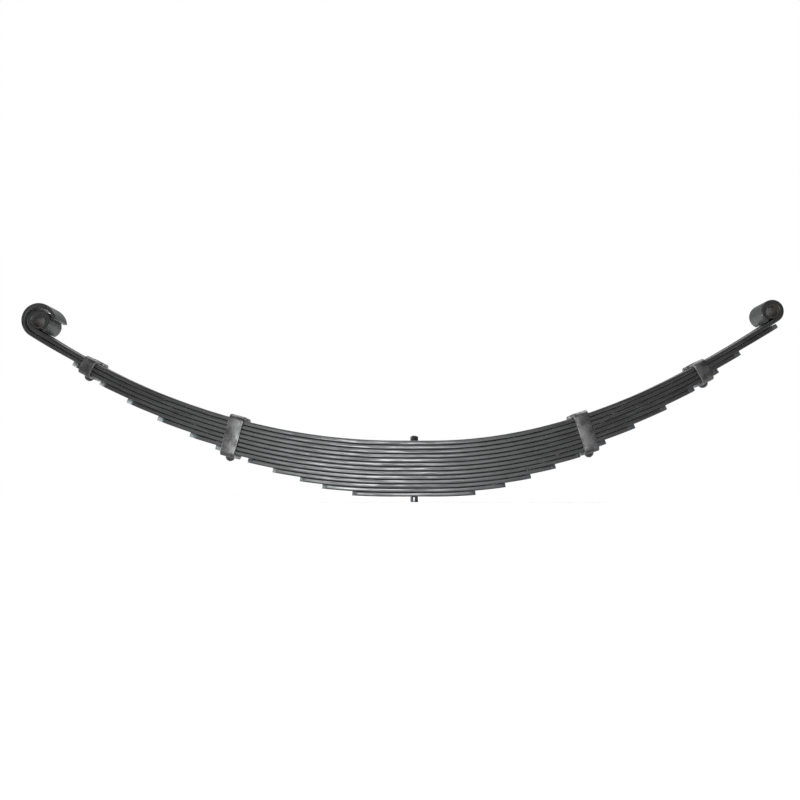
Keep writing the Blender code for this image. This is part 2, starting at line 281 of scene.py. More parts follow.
def placed(name: str, bm: Mesh) -> Piece:
    """Put a mesh into the scene as an object.

    Args:
        name: Name of the object.
        bm: The mesh; it is freed.

    Returns:
        The new object, at the origin.
    """
    bmesh.ops.recalc_face_normals(bm, faces=bm.faces)
    if bm.calc_volume(signed=True) < 0.0:
        bmesh.ops.reverse_faces(bm, faces=bm.faces)
    mesh = bpy.data.meshes.new(name)
    bm.to_mesh(mesh)
    bm.free()
    return add_object(name, mesh)


def settle(name: str, bm: Mesh, material: Material, crease: float = 34.0) -> Piece:
    """Finish a mesh as a piece, smooth but for its creases.

    Args:
        name: Name of the piece.
        bm: The mesh, in place; it is freed.
        material: Its finish.
        crease: Edges that turn more than this many degrees stay sharp.

    Returns:
        The new piece.
    """
    piece = placed(name, bm)
    piece.data.materials.append(material)
    piece.data.shade_smooth()
    piece.data.set_sharp_from_angle(angle=math.radians(crease))
    return piece


def seat(piece: Piece, body: Body, node: str) -> None:
    """Put a piece on its body in a CAD node's stead.

    Args:
        piece: The finished piece.
        body: The body it moves with.
        node: The CAD node it stands for.
    """
    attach(piece, body.value)
    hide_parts(node)
    log.info("%s rides %s, %d faces", piece.name, body.value, len(piece.data.polygons))


def round_rims(
    bm: Mesh, offset: float, within: Callable[[Vector], bool], turn: float = 35.0
) -> None:
    """Break the sharp edges of a region with a small rounding.

    Args:
        bm: The mesh.
        offset: Width of the rounding.
        within: Whether a point lies in the region.
        turn: Least angle in degrees that counts as sharp.
    """
    bm.normal_update()
    rims = [
        e
        for e in bm.edges
        if len(e.link_faces) == 2
        and e.calc_face_angle(0.0) > math.radians(turn)
        and all(within(v.co) for v in e.verts)
    ]
    bmesh.ops.bevel(
        bm,
        geom=rims,
        offset=offset,
        offset_type="OFFSET",
        segments=2,
        profile=0.5,
        affect="EDGES",
        material=-1,
        clamp_overlap=True,
    )


def slice_off(bm: Mesh, point: Vector, outward: Vector) -> None:
    """Cut a closed mesh with a plane, drop what lies beyond and close the cut.

    Args:
        bm: The mesh.
        point: A point of the plane.
        outward: The plane's normal, towards what is dropped.
    """
    cut = bmesh.ops.bisect_plane(
        bm,
        geom=bm.verts[:] + bm.edges[:] + bm.faces[:],
        plane_co=point,
        plane_no=outward.normalized(),
        clear_outer=True,
    )
    rim = [g for g in cut["geom_cut"] if isinstance(g, bmesh.types.BMEdge)]
    if rim:
        bmesh.ops.edgeloop_fill(bm, edges=rim)


def turn_round(bm: Mesh, axis: tuple[int, int, int], steps: int) -> None:
    """Turn a profile right round an axis through the origin and weld it.

    Args:
        bm: The profile, which becomes the turned mesh.
        axis: The axis.
        steps: Steps of the turn.
    """
    bmesh.ops.spin(
        bm,
        geom=bm.verts[:] + bm.edges[:],
        cent=(0, 0, 0),
        axis=axis,
        angle=math.tau,
        steps=steps,
        use_merge=True,
    )
    bmesh.ops.remove_doubles(bm, verts=bm.verts, dist=HAIR)
    bmesh.ops.recalc_face_normals(bm, faces=bm.faces)


def rod(sides: int, radius: float, length: float, middle: Vector) -> Mesh:
    """Make an upright prism.

    Args:
        sides: How many sides it has.
        radius: From its axis to its corners.
        length: Its height.
        middle: Its middle.

    Returns:
        A closed mesh.
    """
    bm = bmesh.new()
    bmesh.ops.create_cone(
        bm,
        cap_ends=True,
        segments=sides,
        radius1=radius,
        radius2=radius,
        depth=length,
        matrix=Matrix.Translation(middle),
    )
    return bm


def drilled(bm: Mesh, holes: list[tuple[Vector, float]]) -> Mesh:
    """Drill upright holes through a straight bar.

    Args:
        bm: The bar; it is freed.
        holes: Middle and radius of each hole.

    Returns:
        The drilled bar.
    """
    drill_sides, drill_length = 40, 60 * MM
    blank = placed("blank", bm)
    drills = []
    for middle, radius in holes:
        drill = placed("drill", rod(drill_sides, radius, drill_length, middle))
        cut = blank.modifiers.new("hole", "BOOLEAN")
        cut.operation, cut.solver, cut.object = "DIFFERENCE", "EXACT", drill
        drills.append(drill)
    bpy.context.view_layer.update()
    result = bmesh.new()
    result.from_object(blank, bpy.context.evaluated_depsgraph_get())
    for old in (*drills, blank):
        data = old.data
        bpy.data.objects.remove(old)
        bpy.data.meshes.remove(data)
    return result


# ---------------------------------------------------------------- lines and bars


def heading(angle: float) -> Vector:
    """Unit vector of the arm's plane at an angle above level."""
    return Vector((math.cos(angle), math.sin(angle)))


def upright(angle: float) -> Vector:
    """Unit vector square to the heading, on its upper side."""
    return Vector((-math.sin(angle), math.cos(angle)))


@dataclass
class BendLine:
    """Top face of the main leaf on one arm, whose curvature runs evenly from seat to eye."""

    side: Side
    seat_radius: float
    eye_radius: float
    length: float
    inner_clip: float
    outer_clip: float
    seat_half: float = 30.0 * MM
    land_half: float = 12.0 * MM
    dish: float = 0.02 * MM
    step: float = 0.5 * MM
    track: list[Vector] = field(default_factory=list)

    def __post_init__(self) -> None:
        """Run the line out from the bolt in small steps."""
        here = Vector((0.0, 0.0))
        self.track.append(here.copy())
        for i in range(math.ceil(self.length / self.step) + 1):
            here += heading(self.slope((i + 0.5) * self.step)) * self.step
            self.track.append(here.copy())

    def slope(self, reach: float) -> float:
        """Slope of the line at a reach.

        Args:
            reach: Distance along the line from the bolt.

        Returns:
            The angle above level, in radians.
        """
        if reach < self.seat_half:
            return self.dish / (self.seat_half - self.land_half) if reach > self.land_half else 0.0
        run = min(reach, self.length) - self.seat_half
        whole = self.length - self.seat_half
        change = 1.0 / self.eye_radius - 1.0 / self.seat_radius
        return run / self.seat_radius + change * run * run / (2.0 * whole)

    def spot(self, reach: float, depth: float = 0.0) -> Vector:
        """Point at a reach and a depth below the line.

        Args:
            reach: Distance along the line from the bolt.
            depth: Distance square below it.

        Returns:
            Outward distance and height above the seat.
        """
        if reach > self.length:
            lean = self.slope(self.length)
            base = self.spot(self.length) + heading(lean) * (reach - self.length)
        else:
            lean = self.slope(reach)
            place = max(reach, 0.0) / self.step
            i = int(place)
            base = self.track[i].lerp(self.track[i + 1], place - i)
        return base - upright(lean) * depth

    def world(self, flat: Vector, across: float = 0.0) -> Vector:
        """A point of the arm's plane in the spring's frame."""
        return Vector((self.side.value * flat.x, across, SEAT_TOP + flat.y))

    def lay_on(self, reach: float, depth: float = 0.0) -> Matrix:
        """Matrix that lays a piece's X axis along the line at a reach, its own Z upwards."""
        turn = Matrix.Rotation(-self.side.value * self.slope(reach), 4, "Y")
        return Matrix.Translation(self.world(self.spot(reach, depth))) @ turn


@dataclass(frozen=True)
class Roll:
    """An eye or a wrapper turned up at the end of a leaf."""

    radius: float
    sweep: float
    shift: float = 0.0
    tighten: float = 0.0


@dataclass(frozen=True)
class Section:
    """Section of rolled flat bar: flat faces and crowned edges with small corners."""

    width: float
    gauge: float
    crown: float
    corner: float

    def draw(self, bm: Mesh) -> bmesh.types.BMFace:
        """Draw the section in the YZ plane, its top face at height zero.

        Args:
            bm: An empty mesh.

        Returns:
            The section's one face.
        """
        half = self.width / 2
        lean = math.asin(self.gauge / 2 / self.crown)
        middle = Vector((0.0, half - self.crown, -self.gauge / 2))
        start = bm.verts.new(middle + Vector((0.0, math.cos(lean), math.sin(lean))) * self.crown)
        bmesh.ops.spin(bm, geom=[start], cent=middle, axis=(1, 0, 0), angle=-2 * lean, steps=6)
        bmesh.ops.mirror(bm, geom=bm.verts[:] + bm.edges[:], axis="Y")
        bm.verts.ensure_lookup_table()
        ring = sorted(bm.verts, key=lambda v: math.atan2(v.co.z + self.gauge / 2, v.co.y))
        bm.faces.new(ring)
        corners = [v for v in bm.verts if min(abs(v.co.z), abs(v.co.z + self.gauge)) < 1e-7]
        bmesh.ops.bevel(
            bm,
            geom=corners,
            offset=self.corner,
            offset_type="OFFSET",
            segments=3,
            profile=0.5,
            affect="VERTICES",
            material=-1,
        )
        bm.faces.ensure_lookup_table()
        return bm.faces[0]


def straight_bar(section: Section, stops: list[float]) -> Mesh:
    """Run a section out along X into a straight bar.

    Args:
        section: The bar's section.
        stops: Where the bar is divided, in order, ends included.

    Returns:
        A closed bar.
    """
    bm = bmesh.new()
    face = section.draw(bm)
    bmesh.ops.translate(bm, verts=bm.verts, vec=(stops[0], 0.0, 0.0))
    for start, end in zip(stops, stops[1:]):
        grown = bmesh.ops.extrude_face_region(bm, geom=[face, *face.edges])
        face = next(g for g in grown["geom"] if isinstance(g, bmesh.types.BMFace))
        bmesh.ops.translate(bm, verts=face.verts, vec=(end - start, 0.0, 0.0))
    bmesh.ops.recalc_face_normals(bm, faces=bm.faces)
    return bm


def divided(start: float, end: float, pitch: float) -> list[float]:
    """Even stops from start up to but not including end, no further apart than pitch."""
    count = max(1, math.ceil((end - start) / pitch))
    return [start + (end - start) * i / count for i in range(count)]


def trim_tip(bm: Mesh, tip: float, side: Side, trim: float) -> None:
    """Shear the two corners off a leaf's end.

    Args:
        bm: The straight leaf.
        tip: Where the leaf ends along X.
        side: Which end it is.
        trim: How much of the width each corner loses.
    """
    for across in (-1, 1):
        point = Vector((tip, across * (LEAF_WIDTH / 2 - trim), 0.0))
        slice_off(bm, point, Vector((side.value, across * SHEAR, 0.0)))
    bmesh.ops.recalc_face_normals(bm, faces=bm.faces)


def bend(bm: Mesh, place: Maker, tangent: Maker | None = None) -> None:
    """Bend a straight bar, keeping each point's straight place as its lay.

    Args:
        bm: The straight bar.
        place: Gives a point's bent place.
        tangent: Gives the outward direction of the metal there, for a bar that flexes.
    """
    lay = bm.verts.layers.float_vector.new("lay")
    along = bm.verts.layers.float_vector.new("along") if tangent else None
    for vert in bm.verts:
        vert[lay] = vert.co
        if tangent:
            vert[along] = tangent(vert.co)
        vert.co = place(vert.co)


# ---------------------------------------------------------------- flexing


@dataclass(frozen=True)
class Flex:
    """Bends the leaves smoothly between the bodies that carry the clips and eyes.

    Each arm is three spans. Over a span the metal passes from one body's place to the next
    along a cubic with both bodies' slopes at its ends, as an elastic leaf does.
    """

    lines: dict[Side, BendLine]
    land: float = 12.0 * MM

    def spans(self, line: BendLine) -> list[tuple[float, float, Body]]:
        """The spans of an arm.

        Args:
            line: The arm's line.

        Returns:
            Start, end and outer body of each span.
        """
        stations = (0.0, line.inner_clip, line.outer_clip, line.length)
        bodies = {
            Side.LEFT: (Body.LEFT_INNER, Body.LEFT_OUTER, Body.LEFT_EYE),
            Side.RIGHT: (Body.RIGHT_INNER, Body.RIGHT_OUTER, Body.RIGHT_EYE),
        }[line.side]
        return [
            (start + self.land, end - self.land, body)
            for start, end, body in zip(stations, stations[1:], bodies)
        ]

    def carried(self, tree: Tree, body: Body, spot: Socket, way: Socket) -> tuple[Socket, Socket]:
        """Where a body takes a spot, and the way the metal runs there.

        Args:
            tree: The node tree.
            body: The body.
            spot: The spot at rest.
            way: The metal's direction at rest.

        Returns:
            The spot and the direction as the body carries them.
        """
        info = add_node(
            tree,
            "GeometryNodeObjectInfo",
            {"Object": frame["bodies"][body.value]},
            transform_space="RELATIVE",
        )
        turn = info.outputs["Transform"]
        at, to = {"Vector": spot, "Transform": turn}, {"Direction": way, "Transform": turn}
        point = add_node(tree, "FunctionNodeTransformPoint", at)
        direction = add_node(tree, "FunctionNodeTransformDirection", to)
        return point.outputs[0], direction.outputs[0]

    def group(self) -> Tree:
        """The geometry nodes that every leaf shares.

        Returns:
            The node group.
        """
        tree = bpy.data.node_groups.new("leaf_flex", "GeometryNodeTree")
        graph = Graph(tree)
        for way in ("INPUT", "OUTPUT"):
            tree.interface.new_socket("Geometry", in_out=way, socket_type="NodeSocketGeometry")
        geometry = add_node(tree, "NodeGroupInput")
        out = add_node(tree, "NodeGroupOutput")
        here = add_node(tree, "GeometryNodeInputPosition").outputs[0]
        lay, along = (
            add_node(
                tree, "GeometryNodeInputNamedAttribute", {"Name": name}, data_type="FLOAT_VECTOR"
            ).outputs[0]
            for name in ("lay", "along")
        )
        reach = graph.split(lay)["X"]
        moved = None
        for side, line in self.lines.items():
            outward = graph.math("MULTIPLY", reach, float(side.value))
            before = (here, along)
            for start, end, body in self.spans(line):
                after = self.carried(tree, body, here, along)
                share = graph.ramp(outward, start, end, style="LINEAR")
                weight = graph.ramp(outward, start, end)
                bow = graph.math("MULTIPLY", share, graph.math("SUBTRACT", 1.0, share))
                bow = graph.math("MULTIPLY", graph.math("MULTIPLY", bow, bow), 2.0 * (end - start))
                for now, then, much in zip(after, before, (weight, bow)):
                    part = graph.vector("SCALE", graph.vector("SUBTRACT", now, then), much)
                    moved = graph.vector("ADD", moved, part) if moved else part
                before = after
        shape = {"Geometry": geometry.outputs[0], "Offset": moved}
        shaped = add_node(tree, "GeometryNodeSetPosition", shape).outputs[0]
        tree.links.new(shaped, out.inputs[0])
        return tree


# ---------------------------------------------------------------- finishes


@dataclass(frozen=True)
class Finish:
    """A surface: its name, and what every finish starts and ends with."""

    name: str

    def start(self, **constants: float) -> tuple[Material, Graph, bpy.types.Node]:
        """Start a material on a Principled shader.

        Args:
            **constants: The shader's inputs that stay constant.

        Returns:
            The material, its node graph and its shader.
        """
        material = bpy.data.materials.new(self.name)
        material.use_nodes = True
        shader = material.node_tree.nodes["Principled BSDF"]
        for socket, value in constants.items():
            shader.inputs[socket].default_value = value
        return material, Graph(material.node_tree), shader

    def dress(
        self,
        graph: Graph,
        shader: bpy.types.Node,
        colour: Socket,
        rough: Socket,
        relief: tuple[Socket, float, float],
    ) -> None:
        """Feed a shader its colour, roughness and bump.

        Args:
            graph: The material's nodes.
            shader: Its Principled shader.
            colour: The colour's socket.
            rough: The roughness's socket.
            relief: The height's socket, the bump's strength and its depth.
        """
        height, strength, depth = relief
        inputs = {"Height": height, "Strength": strength, "Distance": depth}
        bump = add_node(graph.tree, "ShaderNodeBump", inputs).outputs[0]
        for source, socket in ((colour, "Base Color"), (rough, "Roughness"), (bump, "Normal")):
            graph.tree.links.new(source, shader.inputs[socket])


@dataclass(frozen=True)
class LeafBlack(Finish):
    """Satin black paint over hot-rolled spring steel, rubbed thin along the corners."""

    name: str = "satin_black_spring_steel"
    paint: str = "#171616"
    faded: str = "#201f1f"
    bare: str = "#596063"
    scaled: str = "#3a3b3b"
    roughness: float = 0.38
    spacing: float = 0.37
    streaks: tuple[float, float, float] = (25.0, 700.0, 700.0)
    patches: float = 34.0
    grain: float = 900.0
    eye_from: tuple[float, float] = (0.71, 0.76)
    eye_inset: tuple[float, float] = (0.5 * MM, 3.0 * MM)
    corner_band: tuple[float, float] = (0.6 * MM, 1.5 * MM)
    corner_wear: float = 0.45
    metal: float = 0.7

    def own_place(self, graph: Graph, lay: Socket) -> Socket:
        """Where a leaf reads its patterns, so that no two leaves are painted alike.

        Args:
            graph: The material's nodes.
            lay: The straight place.

        Returns:
            The straight place, moved aside by the leaf's own distance.
        """
        aside = graph.math("MULTIPLY", graph.attribute("order"), self.spacing)
        shift = add_node(graph.tree, "ShaderNodeCombineXYZ", {"Y": aside}).outputs[0]
        return graph.vector("ADD", lay, shift)

    def build(self) -> Material:
        """Paint in long streaks, greyer on the rolled eyes, worn at the corners and tips.

        Returns:
            The material.
        """
        material, graph, shader = self.start(**{"IOR": 1.5, "Anisotropic": 0.25})
        lay = graph.attribute("lay", "Vector")
        graph.tree.links.new(graph.attribute("along", "Vector"), shader.inputs["Tangent"])
        own = self.own_place(graph, lay)
        # Brushed-on paint sags into streaks about 40 mm by 1.4 mm.
        streak = graph.noise(graph.stretch(own, self.streaks), 1.0, 4.0, 0.6)
        # Handling dulls it in patches some 30 mm wide.
        patch = graph.noise(own, self.patches, 5.0, 0.65)
        tone = graph.mix(graph.ramp(patch, 0.35, 0.7), self.paint, self.faded)
        # The eyes are rolled hot, and the paint lies thin and greyer over their scale.
        places = graph.split(lay)
        inset = graph.math("SUBTRACT", LEAF_WIDTH / 2, graph.math("ABSOLUTE", places["Y"]))
        rolled = graph.ramp(graph.math("ABSOLUTE", places["X"]), *self.eye_from)
        rolled = graph.math("MULTIPLY", rolled, graph.ramp(inset, *self.eye_inset))
        skin = graph.mix(rolled, tone, self.scaled)
        # Sheared tips take little paint: blue-grey steel shows through it in flecks.
        flecks = graph.ramp(patch, 0.25, 0.6, 0.35, 1.0)
        tips = graph.math("MULTIPLY", graph.attribute("sheared"), flecks)
        # Corners are rubbed through in places, over a band about a millimetre wide.
        top = graph.math("ABSOLUTE", places["Z"])
        under = graph.math("ABSOLUTE", graph.math("ADD", places["Z"], LEAF_GAUGE))
        corner = graph.math("MAXIMUM", inset, graph.math("MINIMUM", top, under))
        corner = graph.ramp(corner, *self.corner_band, 1.0, 0.0)
        rubbed = graph.ramp(streak, 0.5, 0.66, 0.0, self.corner_wear)
        bare = graph.math("MAXIMUM", tips, graph.math("MULTIPLY", corner, rubbed))
        graph.tree.links.new(graph.math("MULTIPLY", bare, self.metal), shader.inputs["Metallic"])
        colour = graph.mix(bare, skin, self.bare)
        rough = graph.ramp(streak, 0.34, 0.66, self.roughness - 0.12, self.roughness + 0.16)
        fine = graph.math("MULTIPLY", graph.noise(own, self.grain, 3.0, 0.6), 0.3)
        height = graph.math("ADD", graph.math("MULTIPLY", streak, 0.6), fine)
        self.dress(graph, shader, colour, rough, (height, 0.25, 0.3 * MM))
        return material


@dataclass(frozen=True)
class StrapSteel(Finish):
    """Mild steel strap gone grey, scratched by handling, brown in places, bright at its edges."""

    name: str = "grey_mild_steel_strap"
    steel: str = "#605f5f"
    dull: str = "#3e3d3d"
    brown: str = "#4e423d"
    bright: str = "#9c9b9b"
    roughness: float = 0.46
    scratches: tuple[float, float, float] = (60.0, 1500.0, 1500.0)
    patches: float = 60.0
    stains: float = 55.0

    def build(self) -> Material:
        """Grey steel with fine scratches, dull patches and faint brown stains.

        Returns:
            The material.
        """
        material, graph, shader = self.start(**{"Metallic": 1.0})
        where = graph.object_space()
        # Scratches run with the strap, about 17 mm long.
        lay = graph.attribute("lay", "Vector")
        scratch = graph.noise(graph.stretch(lay, self.scratches), 1.0, 3.0)
        patch = graph.noise(where, self.patches, 5.0, 0.7)
        patch = graph.math("ADD", patch, graph.math("MULTIPLY", scratch, 0.3))
        tone = graph.mix(graph.ramp(patch, 0.5, 0.82), self.steel, self.dull)
        stain = graph.noise(where, self.stains, 4.0, warp=0.6)
        stained = graph.mix(graph.ramp(stain, 0.58, 0.78, 0.0, 0.6), tone, self.brown)
        # Its edges are rubbed bright, less where it is dull.
        worn = graph.ramp(patch, 0.45, 0.8, 1.0, 0.25)
        worn = graph.math("MULTIPLY", graph.attribute("rubbed"), worn)
        colour = graph.mix(worn, stained, self.bright)
        rough = graph.ramp(scratch, 0.3, 0.7, self.roughness - 0.08, self.roughness + 0.12)
        self.dress(graph, shader, colour, rough, (scratch, 0.3, 0.3 * MM))
        return material


@dataclass(frozen=True)
class PlainSteel(Finish):
    """Small steel parts, forged or turned, darkened by oil."""

    name: str
    tint: str
    dull: str
    roughness: float
    grain: float
    patches: float = 160.0

    def build(self) -> Material:
        """Dark steel with a fine grain and oil that lies unevenly.

        Returns:
            The material.
        """
        material, graph, shader = self.start(**{"Metallic": 1.0})
        where = graph.object_space()
        patch = graph.noise(where, self.patches, 4.0, 0.6)
        colour = graph.mix(graph.ramp(patch, 0.35, 0.65), self.tint, self.dull)
        grain = graph.noise(where, self.grain, 3.0)
        rough = graph.ramp(grain, 0.3, 0.7, self.roughness - 0.06, self.roughness + 0.1)
        self.dress(graph, shader, colour, rough, (grain, 0.2, 0.2 * MM))
        return material


@dataclass(frozen=True)
class BushSteel(Finish):
    """Plain steel bush: black paint over its ends, a brown skin of old oil in its bore."""

    name: str = "painted_bush_steel"
    paint: str = "#2b2b2c"
    brown: str = "#3d3630"
    roughness: float = 0.45
    patches: float = 220.0
    ragged: float = 4.0 * MM
    paint_from: tuple[float, float] = (20.5 * MM, 23.5 * MM)

    def build(self) -> Material:
        """Paint at the two ends that gives way to brown oiled steel inside.

        Returns:
            The material.
        """
        material, graph, shader = self.start(**{"IOR": 1.5})
        where = graph.object_space()
        across = graph.math("ABSOLUTE", graph.split(where)["Y"])
        patch = graph.noise(where, self.patches, 5.0, 0.65)
        limit = graph.math("ADD", across, graph.math("MULTIPLY", patch, self.ragged))
        colour = graph.mix(graph.ramp(limit, *self.paint_from), self.brown, self.paint)
        rough = graph.ramp(patch, 0.3, 0.7, self.roughness - 0.08, self.roughness + 0.1)
        self.dress(graph, shader, colour, rough, (patch, 0.2, 0.3 * MM))
        return material


@dataclass(frozen=True)
class PaleFloor(Finish):
    """Matt pale studio floor."""

    name: str = "pale_studio_floor"
    colour: str = "#f2f2f1"
    shade: str = "#ebebea"

    def build(self) -> Material:
        """Even matt paint with a barely uneven tone.

        Returns:
            The material.
        """
        material, graph, shader = self.start(**{"Roughness": 0.9, "Specular IOR Level": 0.1})
        cloud = graph.noise(graph.object_space(), 2.0, 2.0)
        tone = graph.mix(graph.ramp(cloud, 0.3, 0.7, 0.0, 0.3), self.colour, self.shade)
        graph.tree.links.new(tone, shader.inputs["Base Color"])
        return material


# ---------------------------------------------------------------- leaves


@dataclass(frozen=True)
class Leaf:
    """One leaf of the pack, by its place from the top and its reach each way."""

    number: int
    node: str
    left: float
    right: float
    trim: float
    rolls: dict[Side, Roll] = field(default_factory=dict)
    rivet_reaches: tuple[float, ...] = ()


@dataclass
class LeafPack:
    """All thirteen leaves, with the two that form the eyes."""

    lines: dict[Side, BendLine]
    flex: Tree
    finish: Material
    eye_radius: float = 13.0 * MM
    eye_sweep: float = math.radians(304.0)
    wrap_radius: float = 25.0 * MM
    wrap_shift: float = 0.8 * MM
    wrap_short: float = math.radians(4.0)
    wrap_tighten: float = 1.2 * MM
    wrap_tip: float = 701.0 * MM
    long_trim: float = 9.0 * MM
    short_trim: float = 5.0 * MM
    short_from: int = 9
    seat_gap: float = 0.4 * MM
    arm_gap: float = 0.6 * MM
    arm_gap_from: float = 250.0 * MM
    eye_gap: float = 2.2 * MM
    eye_gap_run: float = 84.0 * MM
    pitch: float = 10.0 * MM
    roll_step: float = math.radians(6.0)
    bolt_hole: float = 5.1 * MM
    edge_crown: float = 24.0 * MM
    edge_corner: float = 2.45 * MM
    tip_rim: float = 0.55 * MM
    tip_skin: float = 0.6 * MM
    film: float = 0.08 * MM

    def leaves(self) -> list[Leaf]:
        """The pack's leaves.

        Returns:
            The leaves from the top down.
        """
        left, right = self.lines[Side.LEFT], self.lines[Side.RIGHT]
        eye = Roll(self.eye_radius, self.eye_sweep)
        wrap_sweep = 1.5 * math.pi - left.slope(left.length) - self.wrap_short
        wrap = Roll(self.wrap_radius, wrap_sweep, self.wrap_shift, self.wrap_tighten)
        eyes = {Side.LEFT: eye, Side.RIGHT: eye}
        rows = [
            Leaf(1, "leaf_01_main", left.length, right.length, 0.0, eyes),
            Leaf(
                2, "leaf_02_wrapper", left.length, self.wrap_tip, self.long_trim, {Side.LEFT: wrap}
            ),
        ]
        reaches = {
            3: (640, 618), 4: (581, 568), 5: (524, 515), 6: (462, 456), 7: (399, 392),
            8: (350, 335), 9: (289, 285), 10: (244, 240), 11: (196, 196), 12: (157, 152),
            13: (106, 102),
        }  # fmt: skip
        riveted = {
            3: (-left.outer_clip,),
            4: (right.outer_clip,),
            8: (-left.inner_clip, right.inner_clip),
        }
        for number, (out_left, out_right) in reaches.items():
            trim = self.long_trim if number < self.short_from else self.short_trim
            ends = (out_left * MM, out_right * MM)
            holes = riveted.get(number, ())
            rows.append(Leaf(number, f"leaf_{number:02d}", *ends, trim, rivet_reaches=holes))
        return rows

    def gap(self, reach: float, line: BendLine) -> float:
        """Air between two leaves.

        Args:
            reach: Distance along the arm.
            line: The arm's line.

        Returns:
            The gap, which opens from the seat outwards.
        """
        share = (reach - line.seat_half) / (self.arm_gap_from - line.seat_half)
        return self.seat_gap + (self.arm_gap - self.seat_gap) * min(max(share, 0.0), 1.0)

    def near_eye(self, number: int, reach: float, line: BendLine) -> float:
        """How far the second leaf has parted from the main leaf towards the eye.

        Args:
            number: The leaf's place from the top.
            reach: Distance along the arm.
            line: The arm's line.

        Returns:
            A share that rises from 0 to 1 at the eye; 0 for every other leaf.
        """
        beyond = (reach - line.length + self.eye_gap_run) / self.eye_gap_run
        return min(max(beyond, 0.0), 1.0) if number == 2 else 0.0

    def top_depth(self, number: int, reach: float, line: BendLine) -> float:
        """How far a leaf's top face lies below the bend line.

        Args:
            number: The leaf's place from the top.
            reach: Distance along the arm.
            line: The arm's line.

        Returns:
            The depth, square to the line.
        """
        if number == 1:
            return 0.0
        above = MAIN_GAUGE + (number - 2) * LEAF_GAUGE + (number - 1) * self.gap(reach, line)
        return above + (self.eye_gap - self.arm_gap) * self.near_eye(number, reach, line)

    def lift(self, number: int, reach: float, line: BendLine) -> float:
        """How far a leaf's top face swells up to bed against the leaf above.

        Args:
            number: The leaf's place from the top.
            reach: Distance along the arm.
            line: The arm's line.

        Returns:
            The swelling, which leaves only a film of grease, and none at the eye.
        """
        if number == 1:
            return 0.0
        return (self.gap(reach, line) - self.film) * (1.0 - self.near_eye(number, reach, line))

    def bent(self, leaf: Leaf, co: Vector) -> Vector:
        """Where a point of the straight leaf lies in the sprung leaf.

        Args:
            leaf: The leaf.
            co: The straight place.

        Returns:
            The bent place.
        """
        side = Side.RIGHT if co.x >= 0.0 else Side.LEFT
        line = self.lines[side]
        reach = abs(co.x)
        roll = leaf.rolls.get(side)
        start = line.length + roll.shift if roll else math.inf
        if reach <= start:
            top = self.top_depth(leaf.number, reach, line)
            lift = self.lift(leaf.number, reach, line) * (1.0 + co.z / LEAF_GAUGE)
            return line.world(line.spot(reach, top - co.z - lift), co.y)
        top = self.top_depth(leaf.number, line.length, line)
        centre = line.spot(start, top - roll.radius)
        angle = line.slope(line.length) + (reach - start) / roll.radius
        closing = roll.tighten * (reach - start) / (roll.radius * roll.sweep)
        return line.world(centre - upright(angle) * (roll.radius - co.z - closing), co.y)

    def tangent(self, co: Vector) -> Vector:
        """Which way the metal runs at a straight place.

        Args:
            co: The straight place.

        Returns:
            The outward direction there.
        """
        side = Side.RIGHT if co.x >= 0.0 else Side.LEFT
        way = heading(self.lines[side].slope(abs(co.x)))
        return Vector((side.value * way.x, 0.0, way.y))

    def stops(self, leaf: Leaf, side: Side) -> list[float]:
        """Divisions of one arm of a leaf.

        Args:
            leaf: The leaf.
            side: The arm.

        Returns:
            Reaches from the bolt outwards.
        """
        roll = leaf.rolls.get(side)
        if roll:
            start = self.lines[side].length + roll.shift
            end = start + roll.sweep * roll.radius
            rolled = divided(start, end, self.roll_step * roll.radius)
            return divided(0.0, start, self.pitch) + rolled + [end]
        end = leaf.left if side is Side.LEFT else leaf.right
        near = end - SHEAR * leaf.trim - 2 * MM
        return divided(0.0, near, self.pitch) + [near, end]

    def mark_tips(self, bm: Mesh, leaf: Leaf, tips: dict[Side, float]) -> None:
        """Mark the faces that the shears left at a leaf's tips.

        Args:
            bm: The straight leaf.
            leaf: The leaf.
            tips: Where each sheared end lies along X.
        """
        mark = bm.verts.layers.float.new("sheared")
        for vert in bm.verts:
            inset = LEAF_WIDTH / 2 - abs(vert.co.y)
            for side, tip in tips.items():
                short = side.value * (tip - vert.co.x)
                corner = (short + SHEAR * inset - SHEAR * leaf.trim) / math.hypot(1.0, SHEAR)
                if min(short, corner) < self.tip_skin:
                    vert[mark] = 1.0

    def forge(self, leaf: Leaf) -> Mesh:
        """Cut, shear and drill a leaf while it is straight.

        Args:
            leaf: The leaf.

        Returns:
            The straight leaf, with its attributes.
        """
        gauge = MAIN_GAUGE if leaf.number == 1 else LEAF_GAUGE
        left, right = self.stops(leaf, Side.LEFT), self.stops(leaf, Side.RIGHT)
        stops = [-x for x in reversed(left[1:])] + right
        section = Section(LEAF_WIDTH, gauge, self.edge_crown, self.edge_corner)
        bm = straight_bar(section, stops)
        ends = {Side.LEFT: stops[0], Side.RIGHT: stops[-1]}
        tips = {side: tip for side, tip in ends.items() if side not in leaf.rolls}
        for side, tip in tips.items():
            trim_tip(bm, tip, side, leaf.trim)
        margin = SHEAR * leaf.trim + 1 * MM
        low, high = stops[0] + margin, stops[-1] - margin
        round_rims(bm, self.tip_rim, lambda co: co.x < low or co.x > high)
        reaches = (0.0, *leaf.rivet_reaches)
        bm = drilled(bm, [(Vector((reach, 0.0, 0.0)), self.bolt_hole) for reach in reaches])
        if leaf.trim:
            self.mark_tips(bm, leaf, tips)
        order = bm.verts.layers.float.new("order")
        for vert in bm.verts:
            vert[order] = float(leaf.number)
        return bm

